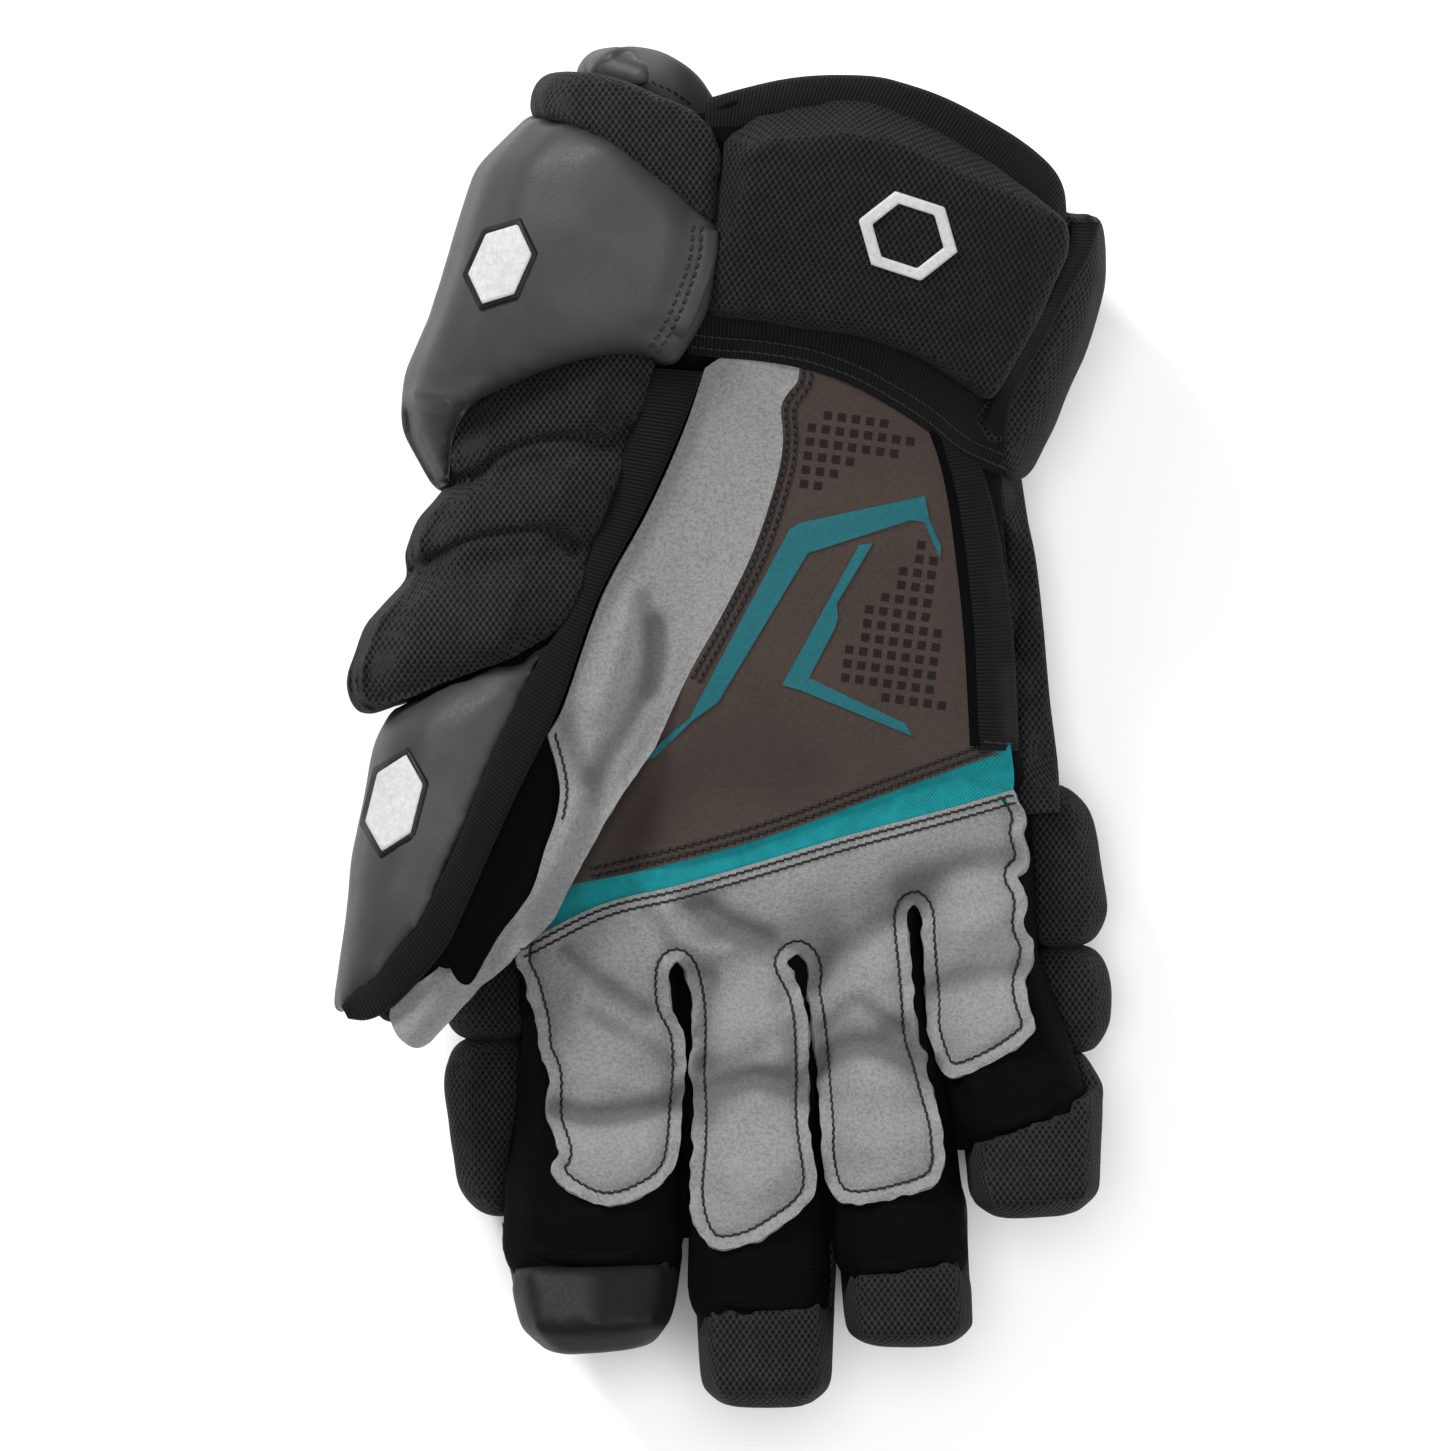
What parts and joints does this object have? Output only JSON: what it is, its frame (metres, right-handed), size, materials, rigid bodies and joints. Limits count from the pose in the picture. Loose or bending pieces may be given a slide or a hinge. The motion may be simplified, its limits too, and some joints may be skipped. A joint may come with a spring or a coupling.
{
  "type": "ice hockey glove",
  "caption": "Right-hand senior ice hockey glove with a short padded cuff, padded back and thumb, and a soft suede palm, lying on its back with the palm up.",
  "frame": {"origin": "Under the middle of the outline, on the surface that the glove lies on.", "axes": "+X to the little finger's side, +Y to the cuff, +Z out of the palm."},
  "size_m": [0.201, 0.3504, 0.1128],
  "materials": {
    "knit_liner": "matte knit",
    "spacer_mesh": "matte spacer mesh",
    "smooth_leather": "satin synthetic leather",
    "palm_suede": "matte synthetic suede",
    "palm_brown": "matte synthetic suede",
    "stretch_strip": "matte stretch knit",
    "grip_print": "satin print",
    "ribbed_tape": "ribbed tape"
  },
  "bodies": {
    "root": {"hand_shell_palm": "knit_liner", "hand_shell_back": "knit_liner", "thumb_gusset": "knit_liner", "index_sleeve": "knit_liner", "middle_sleeve": "knit_liner", "ring_sleeve": "knit_liner", "little_sleeve": "knit_liner", "back_roll_1": "spacer_mesh", "back_roll_2": "spacer_mesh", "back_roll_3": "spacer_mesh", "index_base_block": "spacer_mesh", "index_middle_block": "spacer_mesh", "index_tip_block": "smooth_leather", "middle_base_block": "spacer_mesh", "middle_middle_block": "spacer_mesh", "middle_tip_block": "spacer_mesh", "ring_base_block": "spacer_mesh", "ring_middle_block": "spacer_mesh", "ring_tip_block": "spacer_mesh", "little_base_block": "spacer_mesh", "little_middle_block": "spacer_mesh", "little_tip_block": "spacer_mesh", "cuff_palm_pad": "spacer_mesh", "cuff_mesh_roll": "spacer_mesh", "cuff_thumb_wrap": "smooth_leather", "cuff_top_flap": "smooth_leather", "cuff_outer_flank": "spacer_mesh", "cuff_back_roll": "smooth_leather", "thumb_binding": "ribbed_tape", "side_roll_1": "spacer_mesh", "side_roll_2": "spacer_mesh", "side_roll_3": "spacer_mesh", "thumb_shell": "smooth_leather", "cuff_palm_tape": "ribbed_tape", "palm_edge_binding": "ribbed_tape", "palm_thumb_panel": "palm_suede", "palm_centre_panel": "palm_brown", "palm_stretch_strip": "stretch_strip", "finger_palm_panel": "palm_suede", "palm_grip_band_1": "grip_print", "palm_grip_band_2": "grip_print", "cuff_palm_rim": "ribbed_tape"}
  },
  "joints": []
}
